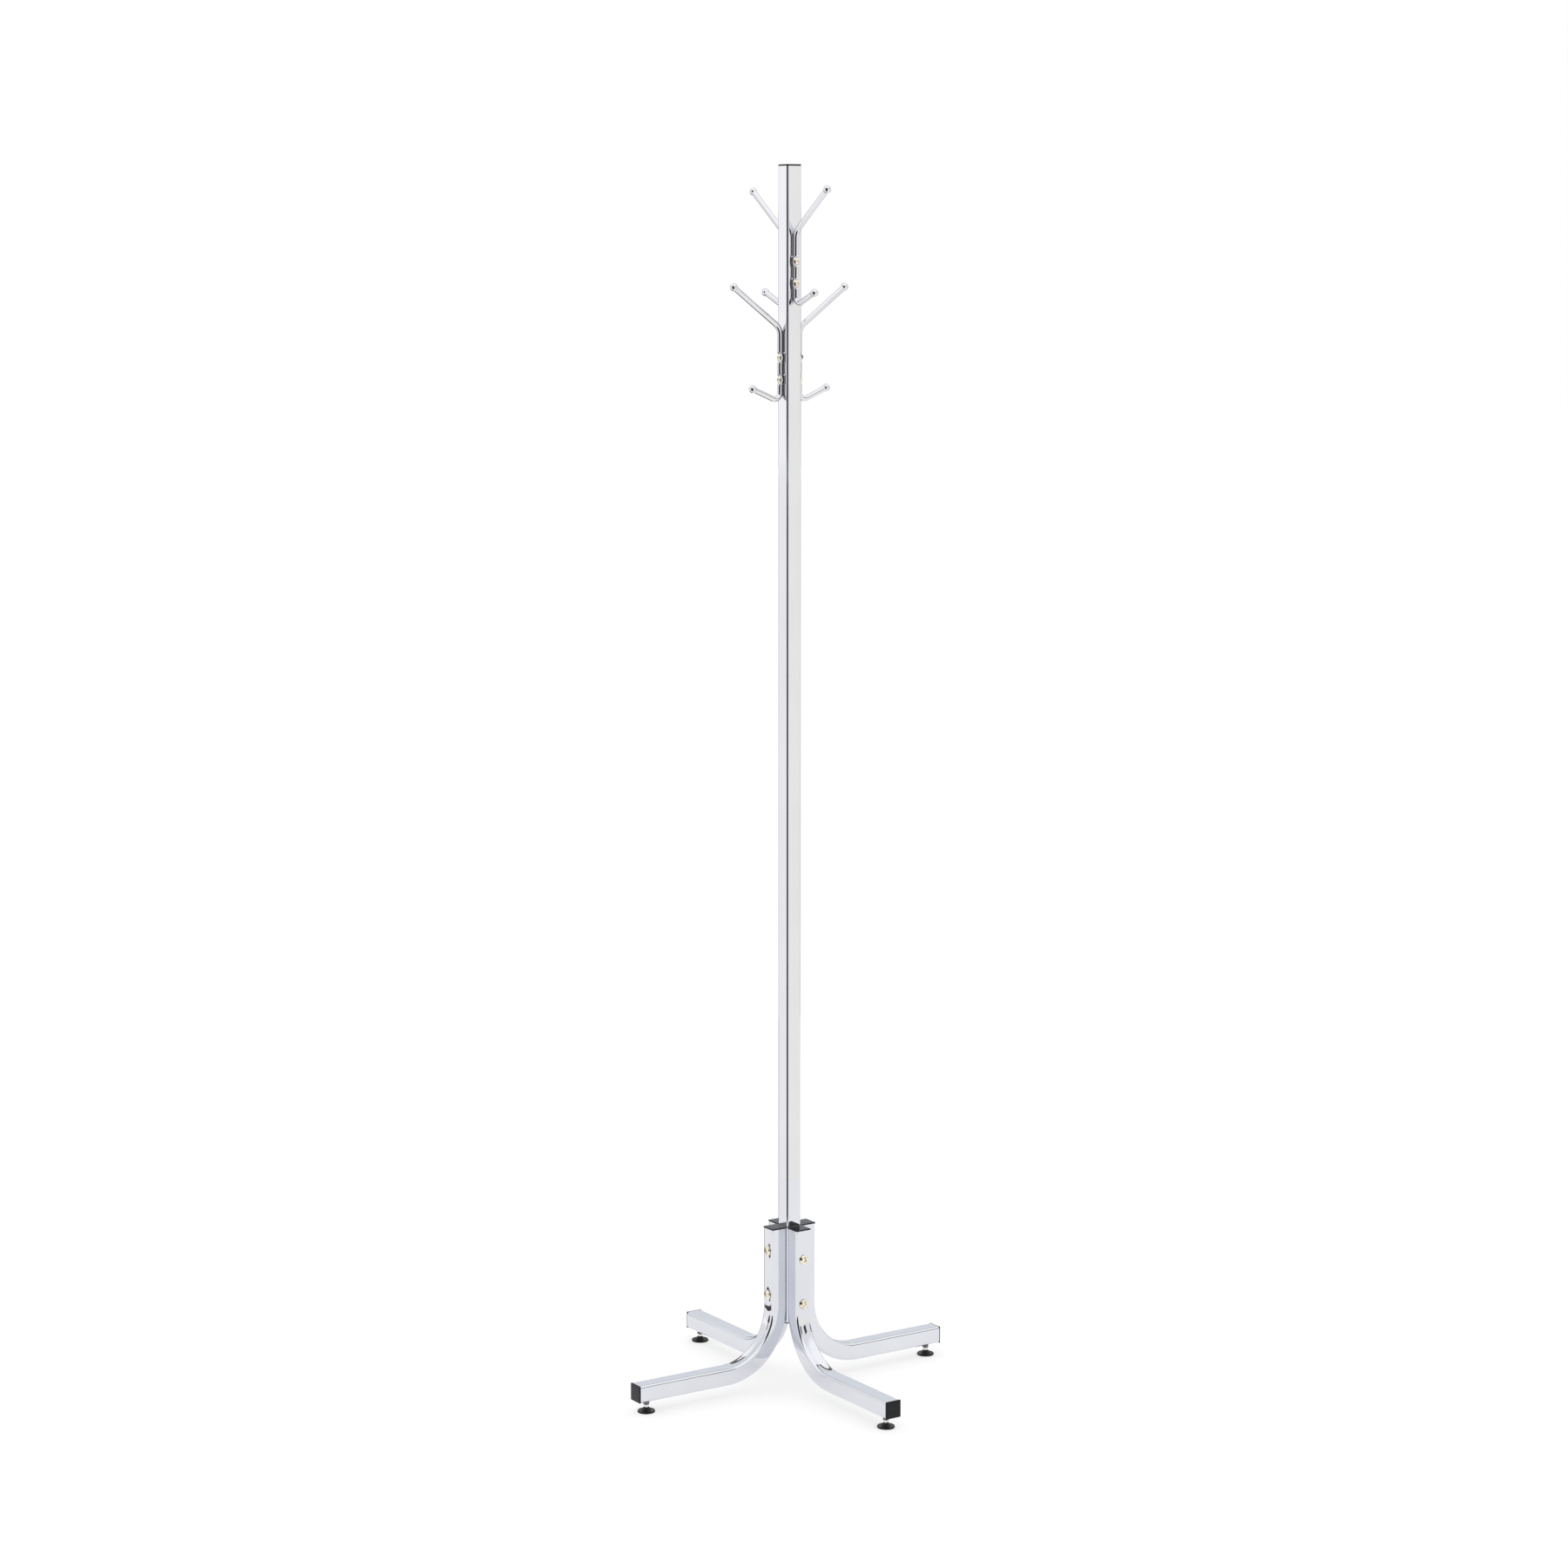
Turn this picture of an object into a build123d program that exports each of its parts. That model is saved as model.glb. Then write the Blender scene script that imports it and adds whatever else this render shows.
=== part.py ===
from build123d import *
import math
import os

# Standing coat rack: a square tube post on four bent tube legs, with four double hooks near the top.
# Millimetres, +Z up. The origin is on the floor on the post's axis; legs and hooks lie along X and Y.

OVERALL_HEIGHT = 1778.0
OVERALL_SPREAD = 533.4

# Square tube, shared by the post and the legs
TUBE = 25.4
WALL = 1.5
TUBE_CORNER = 3.8
SMALLEST_CORNER = 0.5

# How far two solids that are joined into one run into each other
JOIN_OVERLAP = 0.2

# How far a cutting tool runs past the surface it cuts
OVERCUT = 1.0

# Moulded caps and plugs: the post's follow the tube's rounded outline, the legs' have sharper corners
POST_CAP_THICK = 2.5
CAP_THICK = 2.0
LEG_CAP_CORNER = 1.4
CAP_EDGE = 0.7
PLUG_GAP = 0.1
PLUG_WALL = 1.6
PLUG_DEPTH = 12.0
END_PLUG_DEPTH = 8.0

# Post
POST_BOTTOM = 96.0

# Legs
LEG_UNDERSIDE = 18.0
LEG_TOP = 239.2
LEG_BEND_RADIUS = 88.9
LEG_RADIAL = TUBE
BOLT_HEIGHTS_SIDE = (206.6, 139.7)
BOLT_HEIGHTS_FORE = (195.4, 128.4)

# Leg bolts, quarter inch, with domed heads and domed cap nuts of the same size
BOLT_R = 3.175
BOLT_HOLE_R = 3.3
BOLT_HEAD_R = 7.2
BOLT_HEAD_HEIGHT = 3.8
BOLT_REACH = 2.0
CAP_NUT_DEPTH = 2.2

# Domed heads, as shares of their own height and radius
HEAD_RIM = 0.3
RECESS_WIDTH = 0.24
RECESS_LENGTH = 1.05
RECESS_DEPTH = 0.5

# Double hooks, one bent rod each, with flattened eyes for the two screws
ROD_R = 3.97
ROD_SEAT = 0.3
HOOK_HEIGHT_HIGH = 1627.0
HOOK_HEIGHT_LOW = 1492.0
SCREW_SPACING = 31.0
HIGH_BALL = (94.0, 114.5)
LOW_BALL = (62.5, -28.2)
HIGH_CORNER = 57.0
LOW_CORNER = -47.5
HIGH_BEND_RADIUS = 20.0
LOW_BEND_RADIUS = 9.0
BALL_R = 5.55
SPIGOT_R = 2.5
SPIGOT_LENGTH = 5.0
SPIGOT_RELIEF = 0.4
EYE_THICK = 4.5
EYE_WIDTH = 11.0
EYE_LENGTH = 14.0
EYE_EDGE = 0.8
EYE_FLAT = 0.8

# Hook screws, with low domed heads and thin hex nuts
SCREW_R = 2.08
SCREW_HOLE_R = 2.3
SCREW_HEAD_R = 4.7
SCREW_HEAD_HEIGHT = 3.0
SCREW_NUT_FLATS = 8.7
SCREW_NUT_HEIGHT = 3.2
NUT_CHAMFER = 0.9

# Levelling glides: a threaded stud that turns in a steel insert and swivels in a moulded pad
GLIDE_RADIAL = 248.0
STUD_R = 3.175
STUD_TOP = 34.0
STUD_END_CHAMFER = 0.6
STUD_FLATS = 5.2
STUD_FLATS_HEIGHTS = (8.4, 10.6)
THREAD_GAP = 0.05
COLLAR_R = 4.4
COLLAR_BOTTOM = 11.0
COLLAR_EDGE = 0.4
INSERT_BARREL_R = 4.8
INSERT_UPSET_R = 6.4
INSERT_UPSET_THICK = 2.5
INSERT_TOP = 31.0
PAD_R = 12.7
PAD_RIM_HEIGHT = 2.8
PAD_HUB_BASE_R = 6.8
PAD_HUB_TOP_R = 3.9
PAD_HEIGHT = 7.6
PAD_EDGE = 0.9
PIVOT_R = 2.2
PIVOT_GAP = 0.05
PIVOT_FLOOR = 2.2
PIVOT_END_GAP = 0.3
BEAD_R = 2.7
BEAD_HEIGHTS = (3.6, 4.4)
BEAD_GAP = 0.1
BEAD_END_GAP = 0.2
SHOULDER_GAP = 0.1

HALF_TUBE = TUBE / 2
POST_TOP = OVERALL_HEIGHT - POST_CAP_THICK
LEG_REACH = OVERALL_SPREAD / 2 - CAP_THICK
LEG_AXIS_HEIGHT = LEG_UNDERSIDE + HALF_TUBE
EYE_FACE = HALF_TUBE + EYE_THICK
LEG_FACE = LEG_RADIAL + HALF_TUBE
ROD_RADIAL = HALF_TUBE + ROD_R - ROD_SEAT

# Each side's turn about +Z from +X
SIDES = {"right": 0, "back": 90, "left": 180, "front": 270}


def turned(shape, side):
    """A shape built along +X, turned to the named side."""
    return Rot(0, 0, SIDES[side]) * shape


def tube_outline(inset=0.0):
    """The square tube's section, drawn in by inset on every side."""
    return RectangleRounded(TUBE - 2 * inset, TUBE - 2 * inset, max(TUBE_CORNER - inset, SMALLEST_CORNER))


def cylinder_along_x(radius, start, end):
    """A round bar along X from start to end."""
    return Pos(min(start, end), 0, 0) * Rot(0, 90, 0) * Cylinder(
        radius, abs(end - start), align=(Align.CENTER, Align.CENTER, Align.MIN)
    )


def cylinder_up(radius, low, high):
    """A round bar along Z from low to high."""
    return Pos(0, 0, low) * Cylinder(radius, high - low, align=(Align.CENTER, Align.CENTER, Align.MIN))


def moulded_cap(flange, plug_depth, corner):
    """A cap with its flange from z = 0 up to its thickness and a hollow square plug below."""
    plate = extrude(RectangleRounded(TUBE, TUBE, corner), flange)
    plate = fillet(plate.edges().group_by(Axis.Z)[-1], CAP_EDGE)
    plug = extrude(tube_outline(WALL + PLUG_GAP), -plug_depth)
    plug = plug - extrude(tube_outline(WALL + PLUG_GAP + PLUG_WALL), -plug_depth)
    return plate + plug


def post_tube():
    """The upright tube, drilled for the leg bolts and the hook screws."""
    length = POST_TOP - POST_BOTTOM
    tube = extrude(tube_outline() - tube_outline(WALL), length)
    tube = Pos(0, 0, POST_BOTTOM) * tube
    for height in BOLT_HEIGHTS_SIDE:
        tube -= Pos(0, 0, height) * cylinder_along_x(BOLT_HOLE_R, -TUBE, TUBE)
    for height in BOLT_HEIGHTS_FORE:
        tube -= Pos(0, 0, height) * turned(cylinder_along_x(BOLT_HOLE_R, -TUBE, TUBE), "back")
    for side, middle in (("right", HOOK_HEIGHT_LOW), ("back", HOOK_HEIGHT_HIGH)):
        for offset in (-SCREW_SPACING / 2, SCREW_SPACING / 2):
            hole = turned(cylinder_along_x(SCREW_HOLE_R, -TUBE, TUBE), side)
            tube -= Pos(0, 0, middle + offset) * hole
    return tube


def leg_tube(bolt_heights):
    """One leg along +X: upright against the post, bent outwards, then level to its tip."""
    path = FilletPolyline(
        (LEG_RADIAL, 0, LEG_TOP),
        (LEG_RADIAL, 0, LEG_AXIS_HEIGHT),
        (LEG_REACH, 0, LEG_AXIS_HEIGHT),
        radius=LEG_BEND_RADIUS,
    )
    start = Plane(origin=path @ 0, x_dir=(1, 0, 0), z_dir=path % 0)
    tube = sweep(start * tube_outline(), path=path) - sweep(start * tube_outline(WALL), path=path)
    for height in bolt_heights:
        tube -= Pos(0, 0, height) * cylinder_along_x(BOLT_HOLE_R, 0, LEG_FACE + OVERCUT)
    tube -= Pos(GLIDE_RADIAL, 0, 0) * cylinder_up(
        INSERT_BARREL_R, LEG_UNDERSIDE - OVERCUT, LEG_UNDERSIDE + WALL + OVERCUT
    )
    return tube


def dome(radius, height):
    """A low dome on z = 0 with a short upright rim."""
    rise = height * (1 - HEAD_RIM)
    sphere_r = (radius**2 + rise**2) / (2 * rise)
    return cylinder_up(radius, 0, height) & Pos(0, 0, height - sphere_r) * Sphere(sphere_r)


def domed_head(radius, height):
    """A low domed screw head on z = 0 with a cross recess in its crown."""
    head = dome(radius, height)
    for turn in (0, 90):
        slot = Box(radius * RECESS_LENGTH, radius * RECESS_WIDTH, height * RECESS_DEPTH * 2)
        head -= Pos(0, 0, height) * Rot(0, 0, turn) * slot
    return head


def hex_nut(flats, height, bore):
    """A hex nut on z = 0 with chamfered corners."""
    corner_r = flats / math.sqrt(3)
    nut = extrude(RegularPolygon(corner_r, 6), height)
    outline = Pos(0, 0, height / 2) * Cylinder(corner_r, height)
    nut &= chamfer_both_ends(outline, (corner_r - flats / 2) * NUT_CHAMFER)
    return nut - cylinder_up(bore, -OVERCUT, height + OVERCUT)


def chamfer_both_ends(cylinder, size):
    """Chamfers the two end circles of an upright cylinder."""
    circles = cylinder.edges().filter_by(GeomType.CIRCLE)
    return chamfer(circles, size)


def through_bolt(radius, head_radius, head_height, head_face, end_face):
    """A bolt along X, its head against head_face on -X and its end at end_face on +X."""
    head = Pos(-head_face, 0, 0) * Rot(0, -90, 0) * domed_head(head_radius, head_height)
    return head + cylinder_along_x(radius, -head_face - JOIN_OVERLAP, end_face)


def nut_on_x(nut, seat):
    """A nut built on z = 0, seated on the +X side at radial distance seat."""
    return Pos(seat, 0, 0) * Rot(0, 90, 0) * nut


def at_heights(shape, heights, side):
    """Copies of a part built along X, one at each height, turned to a side, as one group."""
    return Compound(children=[Pos(0, 0, height) * turned(shape, side) for height in heights])


def hook_path():
    """The rod's centre line in the XZ plane, from the upper ball to the lower one."""
    return FilletPolyline(
        (HIGH_BALL[0], 0, HIGH_BALL[1]),
        (ROD_RADIAL, 0, HIGH_CORNER),
        (ROD_RADIAL, 0, LOW_CORNER),
        (LOW_BALL[0], 0, LOW_BALL[1]),
        radius=[HIGH_BEND_RADIUS, LOW_BEND_RADIUS],
    )


def shoulder_distance():
    """How far from a ball's centre its flat seat for the rod's shoulder lies."""
    return math.sqrt(BALL_R**2 - ROD_R**2)


def end_plane(path, position):
    """A plane at a ball's centre, its normal pointing back along the rod."""
    inward = path % position if position == 0 else -(path % position)
    return Plane(origin=path @ position, z_dir=inward)


def hook_rod():
    """A double hook along +X about the middle of its two screws, pressed flat where it meets the post."""
    path = hook_path()
    rod = sweep(Plane(origin=path @ 0, z_dir=path % 0) * Circle(ROD_R), path=path)
    rod -= Pos(HALF_TUBE, 0, 0) * Box(
        ROD_R, 4 * ROD_R, 4 * HIGH_BALL[1], align=(Align.MAX, Align.CENTER, Align.CENTER)
    )
    for position in (0, 1):
        plane = end_plane(path, position)
        seat = shoulder_distance()
        rod -= plane * cylinder_up(ROD_R + OVERCUT, -ROD_R, seat)
        rod += plane * cylinder_up(SPIGOT_R, seat - SPIGOT_LENGTH, seat + JOIN_OVERLAP)
    eye_outline = Plane(origin=(HALF_TUBE, 0, 0), x_dir=(0, 1, 0), z_dir=(1, 0, 0)) * Ellipse(
        EYE_WIDTH / 2, EYE_LENGTH / 2
    )
    eye = extrude(eye_outline, EYE_THICK)
    eye = fillet(eye.faces().sort_by(Axis.X)[-1].edges(), EYE_EDGE)
    for offset in (-SCREW_SPACING / 2, SCREW_SPACING / 2):
        rod -= Pos(EYE_FACE, 0, offset) * Box(
            2 * ROD_R, EYE_WIDTH, EYE_LENGTH * EYE_FLAT, align=(Align.MIN, Align.CENTER, Align.CENTER)
        )
        rod += Pos(0, 0, offset) * eye
        rod -= Pos(0, 0, offset) * cylinder_along_x(SCREW_HOLE_R, 0, 2 * EYE_FACE)
    return rod


def ball_tip(position):
    """A ball with a flat seat and a blind bore, on one end of the hook's rod."""
    seat = shoulder_distance()
    ball = Sphere(BALL_R)
    ball -= cylinder_up(BALL_R, seat, BALL_R + OVERCUT)
    ball -= cylinder_up(SPIGOT_R, seat - SPIGOT_LENGTH - SPIGOT_RELIEF, BALL_R)
    return end_plane(hook_path(), position) * ball


def glide_insert():
    """The collared steel insert riveted into the leg's underside, on the Z axis."""
    collar = cylinder_up(COLLAR_R, COLLAR_BOTTOM, LEG_UNDERSIDE)
    collar = chamfer(collar.edges().group_by(Axis.Z)[0], COLLAR_EDGE)
    barrel = cylinder_up(INSERT_BARREL_R, LEG_UNDERSIDE, INSERT_TOP)
    floor = LEG_UNDERSIDE + WALL
    upset = cylinder_up(INSERT_UPSET_R, floor, floor + INSERT_UPSET_THICK)
    bore = cylinder_up(STUD_R + THREAD_GAP, 0, INSERT_TOP + OVERCUT)
    return collar + barrel + upset - bore


def glide_stud():
    """The stud on the Z axis, with two wrench flats and a beaded pivot at its foot."""
    shoulder = PAD_HEIGHT + SHOULDER_GAP
    stud = cylinder_up(STUD_R, shoulder, STUD_TOP)
    stud = chamfer(stud.edges().group_by(Axis.Z)[-1], STUD_END_CHAMFER)
    low, high = STUD_FLATS_HEIGHTS
    for sign in (-1, 1):
        stud -= Pos(sign * (STUD_FLATS / 2 + STUD_R), 0, (low + high) / 2) * Box(
            2 * STUD_R, 2 * STUD_R, high - low
        )
    stud += cylinder_up(PIVOT_R, PIVOT_FLOOR + PIVOT_END_GAP, shoulder)
    return stud + cylinder_up(BEAD_R, *BEAD_HEIGHTS)


def glide_pad():
    """The round pad on the floor, with a conical hub that holds the stud's pivot."""
    rim = cylinder_up(PAD_R, 0, PAD_RIM_HEIGHT)
    rim = fillet(rim.edges().group_by(Axis.Z)[-1], PAD_EDGE)
    hub_height = PAD_HEIGHT - PAD_RIM_HEIGHT
    hub = Pos(0, 0, PAD_RIM_HEIGHT + hub_height / 2) * Cone(PAD_HUB_BASE_R, PAD_HUB_TOP_R, hub_height)
    pad = rim + hub - cylinder_up(PIVOT_R + PIVOT_GAP, PIVOT_FLOOR, PAD_HEIGHT + OVERCUT)
    low, high = BEAD_HEIGHTS
    return pad - cylinder_up(BEAD_R + BEAD_GAP, low - BEAD_END_GAP, high + BEAD_END_GAP)


def save(shape, name):
    """Writes one node, labelled with its own name."""
    shape.label = name
    export_step(shape, f"parts/{name}.step")


def build_post():
    save(post_tube(), "post_tube")
    top_cap = moulded_cap(POST_CAP_THICK, PLUG_DEPTH, TUBE_CORNER)
    save(Pos(0, 0, POST_TOP) * top_cap, "post_top_cap")
    bottom_plug = moulded_cap(CAP_THICK, PLUG_DEPTH, TUBE_CORNER)
    save(Pos(0, 0, POST_BOTTOM) * Rot(180, 0, 0) * bottom_plug, "post_bottom_plug")


def build_leg(side):
    heights = BOLT_HEIGHTS_SIDE if side in ("left", "right") else BOLT_HEIGHTS_FORE
    save(turned(leg_tube(heights), side), f"leg_{side}")
    top_cap = moulded_cap(CAP_THICK, PLUG_DEPTH, LEG_CAP_CORNER)
    save(turned(Pos(LEG_RADIAL, 0, LEG_TOP) * top_cap, side), f"leg_top_cap_{side}")
    end_cap = Rot(0, 90, 0) * moulded_cap(CAP_THICK, END_PLUG_DEPTH, LEG_CAP_CORNER)
    save(turned(Pos(LEG_REACH, 0, LEG_AXIS_HEIGHT) * end_cap, side), f"leg_end_cap_{side}")
    for part, name in ((glide_insert(), "insert"), (glide_stud(), "stud"), (glide_pad(), "pad")):
        save(turned(Pos(GLIDE_RADIAL, 0, 0) * part, side), f"glide_{name}_{side}")


def build_leg_bolts():
    bolt = through_bolt(BOLT_R, BOLT_HEAD_R, BOLT_HEAD_HEIGHT, LEG_FACE, LEG_FACE + BOLT_REACH)
    cap_nut = dome(BOLT_HEAD_R, BOLT_HEAD_HEIGHT) - cylinder_up(BOLT_R, -OVERCUT, CAP_NUT_DEPTH)
    nut = nut_on_x(cap_nut, LEG_FACE)
    for name, heights, side in (
        ("left_right", BOLT_HEIGHTS_SIDE, "right"),
        ("front_back", BOLT_HEIGHTS_FORE, "back"),
    ):
        save(at_heights(bolt, heights, side), f"leg_bolts_{name}")
        save(at_heights(nut, heights, side), f"leg_nuts_{name}")


def build_hook(side, height):
    save(Pos(0, 0, height) * turned(hook_rod(), side), f"hook_{side}")
    for position, end in ((0, "high"), (1, "low")):
        save(Pos(0, 0, height) * turned(ball_tip(position), side), f"hook_ball_{end}_{side}")


def build_hook_screws():
    screw = through_bolt(SCREW_R, SCREW_HEAD_R, SCREW_HEAD_HEIGHT, EYE_FACE, EYE_FACE + SCREW_NUT_HEIGHT)
    nut = nut_on_x(hex_nut(SCREW_NUT_FLATS, SCREW_NUT_HEIGHT, SCREW_R), EYE_FACE)
    for name, middle, side in (("high", HOOK_HEIGHT_HIGH, "back"), ("low", HOOK_HEIGHT_LOW, "right")):
        heights = [middle + offset for offset in (-SCREW_SPACING / 2, SCREW_SPACING / 2)]
        save(at_heights(screw, heights, side), f"hook_screws_{name}")
        save(at_heights(nut, heights, side), f"hook_nuts_{name}")


os.makedirs("parts", exist_ok=True)
build_post()
for leg_side in SIDES:
    build_leg(leg_side)
build_leg_bolts()
for hook_side in SIDES:
    build_hook(hook_side, HOOK_HEIGHT_HIGH if hook_side in ("front", "back") else HOOK_HEIGHT_LOW)
build_hook_screws()
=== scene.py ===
import math

import bpy
import numpy as np
from mathutils import Matrix, Vector


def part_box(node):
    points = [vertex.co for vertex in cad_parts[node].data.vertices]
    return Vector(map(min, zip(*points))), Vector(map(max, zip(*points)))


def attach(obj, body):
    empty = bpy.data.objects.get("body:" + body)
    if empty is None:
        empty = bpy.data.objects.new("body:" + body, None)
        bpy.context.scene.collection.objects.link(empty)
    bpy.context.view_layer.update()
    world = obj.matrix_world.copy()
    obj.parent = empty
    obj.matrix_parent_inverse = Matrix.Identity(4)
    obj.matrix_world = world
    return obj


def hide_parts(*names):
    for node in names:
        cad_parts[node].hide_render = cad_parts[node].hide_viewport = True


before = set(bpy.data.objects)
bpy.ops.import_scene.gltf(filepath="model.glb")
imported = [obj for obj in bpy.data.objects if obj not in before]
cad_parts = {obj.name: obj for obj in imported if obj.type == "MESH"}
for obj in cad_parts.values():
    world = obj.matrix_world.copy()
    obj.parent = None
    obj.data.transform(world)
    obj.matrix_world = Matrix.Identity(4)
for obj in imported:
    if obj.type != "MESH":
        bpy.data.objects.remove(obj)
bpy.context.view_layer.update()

# Standing coat rack. Everything is in metres, in the frame of the CAD model: +Z up, origin on the floor, on the
# post's axis. The sizes named below are the real ones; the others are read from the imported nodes.
MM = 0.001
SIDES = {"right": 0, "back": 90, "left": 180, "front": 270}

# Square tube and its caps
TUBE_CORNER = 3.8 * MM
TUBE_WALL = 1.5 * MM
LEG_BEND_RADIUS = 88.9 * MM
LEG_CAP_CORNER = 1.4 * MM
CAP_EDGE = 0.7 * MM
CAP_CROWN = 0.18 * MM
CAP_UNDER_EDGE = 0.12 * MM
SMALLEST_CORNER = 0.4 * MM
PLUG_INSET = 1.6 * MM
PLUG_WALL = 1.6 * MM
PLUG_FLOOR = 0.2 * MM
PLUG_DEPTH = 12.0 * MM
END_PLUG_DEPTH = 8.0 * MM

# Double hooks. Their heights are from the middle of their two screws; the two ball centres are (radial, height)
ROD_R = 3.97 * MM
ROD_SEAT = 0.3 * MM
HIGH_BALL = (94.0 * MM, 114.5 * MM)
LOW_BALL = (62.5 * MM, -28.2 * MM)
HIGH_CORNER = 57.0 * MM
LOW_CORNER = -47.5 * MM
HIGH_BEND_RADIUS = 20.0 * MM
LOW_BEND_RADIUS = 9.0 * MM
BALL_R = 5.55 * MM
SCREW_SPACING = 31.0 * MM
EYE_THICK = 4.5 * MM
EYE_WIDTH = 11.0 * MM
EYE_LENGTH = 14.0 * MM
ROD_CLEARANCE = 0.01 * MM

# Fasteners
SCREW_R = 2.08 * MM
SCREW_HEAD_R = 4.7 * MM
SCREW_HEAD_HEIGHT = 3.0 * MM
SCREW_NUT_FLATS = 8.7 * MM
SCREW_NUT_HEIGHT = 3.2 * MM
BOLT_R = 3.175 * MM
BOLT_HEAD_R = 7.2 * MM
BOLT_HEAD_HEIGHT = 3.8 * MM
BOLT_REACH = 2.0 * MM
RECESS_TURN = math.pi / 4

# Levelling glides
STUD_R = 3.175 * MM
STUD_FLATS = 5.2 * MM
STUD_FLATS_HEIGHTS = (8.4 * MM, 10.6 * MM)
STUD_FLATS_STEP = 0.02 * MM
STUD_END_CHAMFER = 0.6 * MM
THREAD_PITCH = 1.27 * MM
THREAD_DEPTH = 0.55 * MM
THREAD_SHARPNESS = 1.2
STUD_CLEARANCE = 0.05 * MM
STUD_IN_PAD = 0.25 * MM
COLLAR_R = 4.4 * MM
COLLAR_BOTTOM = 11.0 * MM
INSERT_BARREL_R = 4.8 * MM
INSERT_UPSET_R = 6.4 * MM
INSERT_UPSET_HEIGHT = 2.5 * MM
PAD_RIM_HEIGHT = 2.8 * MM
PAD_HUB_BASE_R = 6.8 * MM
PAD_HUB_TOP_R = 3.9 * MM
PAD_EDGE = 0.9 * MM

POST_LOW, POST_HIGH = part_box("post_tube")
HALF_TUBE = POST_HIGH.x
LEG_LOW, LEG_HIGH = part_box("leg_right")
# The leg stands beside the post, so their axes are one tube apart
LEG_RADIAL = 2 * HALF_TUBE
LEG_FACE = LEG_RADIAL + HALF_TUBE
LEG_AXIS_HEIGHT = LEG_LOW.z + HALF_TUBE
ROD_RADIAL = HALF_TUBE + ROD_R - ROD_SEAT
EYE_FACE = HALF_TUBE + EYE_THICK


# ---------------------------------------------------------------- mesh helpers


class Shell:
    """Collects rings of points, joins them into faces with exact normals, and makes one mesh."""

    def __init__(self):
        self.points, self.faces, self.normals = [], [], []

    def ring(self, points):
        start = len(self.points)
        self.points.extend([tuple(p) for p in points])
        return list(range(start, len(self.points)))

    def band(self, low, high, low_normals, high_normals):
        """Faces between two rings of equal length, which run anticlockwise about the way from low to high."""
        for i in range(len(low)):
            j = (i + 1) % len(low)
            self.faces.append((low[i], low[j], high[j], high[i]))
            self.normals += [low_normals[i], low_normals[j], high_normals[j], high_normals[i]]

    def flat_band(self, low, high, normal):
        self.band(low, high, [normal] * len(low), [normal] * len(low))

    def mesh(self, name, matrix=Matrix.Identity(4)):
        made = bpy.data.meshes.new(name)
        made.from_pydata(self.points, [], self.faces)
        turn = matrix.to_3x3()
        made.transform(matrix)
        made.polygons.foreach_set("use_smooth", [True] * len(made.polygons))
        made.normals_split_custom_set([(turn @ Vector(n)).normalized() for n in self.normals])
        return made


def piece(name, mesh, material, slot, body, *nodes):
    """A shown piece of the object that stands for CAD nodes and rides on a body."""
    made = bpy.data.objects.new(name, mesh)
    bpy.context.scene.collection.objects.link(made)
    made.data.materials.clear()
    made.data.materials.append(material)
    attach(made, body)
    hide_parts(*nodes)
    return made


def soft_edges(mesh, degrees=32):
    """Smooth shading that keeps edges sharper than an angle."""
    mesh.polygons.foreach_set("use_smooth", [True] * len(mesh.polygons))
    mesh.set_sharp_from_angle(angle=math.radians(degrees))


def grid_mesh(name, rings, closed_ends=True):
    """A mesh from rings of equal length, joined in order, with a fan on each end."""
    rings = [list(map(tuple, ring)) for ring in rings]
    count = len(rings[0])
    points = [p for ring in rings for p in ring]
    faces = []
    for k in range(len(rings) - 1):
        for i in range(count):
            j = (i + 1) % count
            faces.append((k * count + i, k * count + j, (k + 1) * count + j, (k + 1) * count + i))
    if closed_ends:
        for k, turn in ((0, -1), (len(rings) - 1, 1)):
            centre = len(points)
            points.append(tuple(np.mean(rings[k], axis=0)))
            for i in range(count):
                a, b = k * count + i, k * count + (i + 1) % count
                faces.append((a, b, centre) if turn > 0 else (b, a, centre))
    made = bpy.data.meshes.new(name)
    made.from_pydata(points, [], faces)
    return made


def lathe_rings(profile, steps=64, matrix=Matrix.Identity(4)):
    """Rings of a profile of (radius, height) turned about Z."""
    angles = [2 * math.pi * i / steps for i in range(steps)]
    return [
        [matrix @ Vector((r * math.cos(a), r * math.sin(a), z)) for a in angles] for r, z in profile
    ]


def arc_points(centre, radius, start, end, steps):
    """Points on an arc in the (radius, height) plane, angles in degrees."""
    return [
        (
            centre[0] + radius * math.cos(math.radians(start + (end - start) * i / steps)),
            centre[1] + radius * math.sin(math.radians(start + (end - start) * i / steps)),
        )
        for i in range(steps + 1)
    ]


def joined(name, meshes):
    """One mesh made of several."""
    points, faces = [], []
    for mesh in meshes:
        start = len(points)
        points += [tuple(v.co) for v in mesh.vertices]
        faces += [tuple(start + i for i in face.vertices) for face in mesh.polygons]
    made = bpy.data.meshes.new(name)
    made.from_pydata(points, [], faces)
    return made


def carved(mesh, cutter):
    """The mesh with the cutter's volume taken out."""
    solid = bpy.data.objects.new("carving", mesh)
    tool = bpy.data.objects.new("cutter", cutter)
    for obj in (solid, tool):
        bpy.context.scene.collection.objects.link(obj)
    modifier = solid.modifiers.new("cut", "BOOLEAN")
    modifier.object = tool
    modifier.operation = "DIFFERENCE"
    modifier.solver = "EXACT"
    depsgraph = bpy.context.evaluated_depsgraph_get()
    made = bpy.data.meshes.new_from_object(solid.evaluated_get(depsgraph))
    for obj in (solid, tool):
        bpy.data.objects.remove(obj)
    return made


def side_turn(side):
    """The turn about the post that takes something on +X to a side."""
    return Matrix.Rotation(math.radians(SIDES[side]), 4, "Z")


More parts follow.
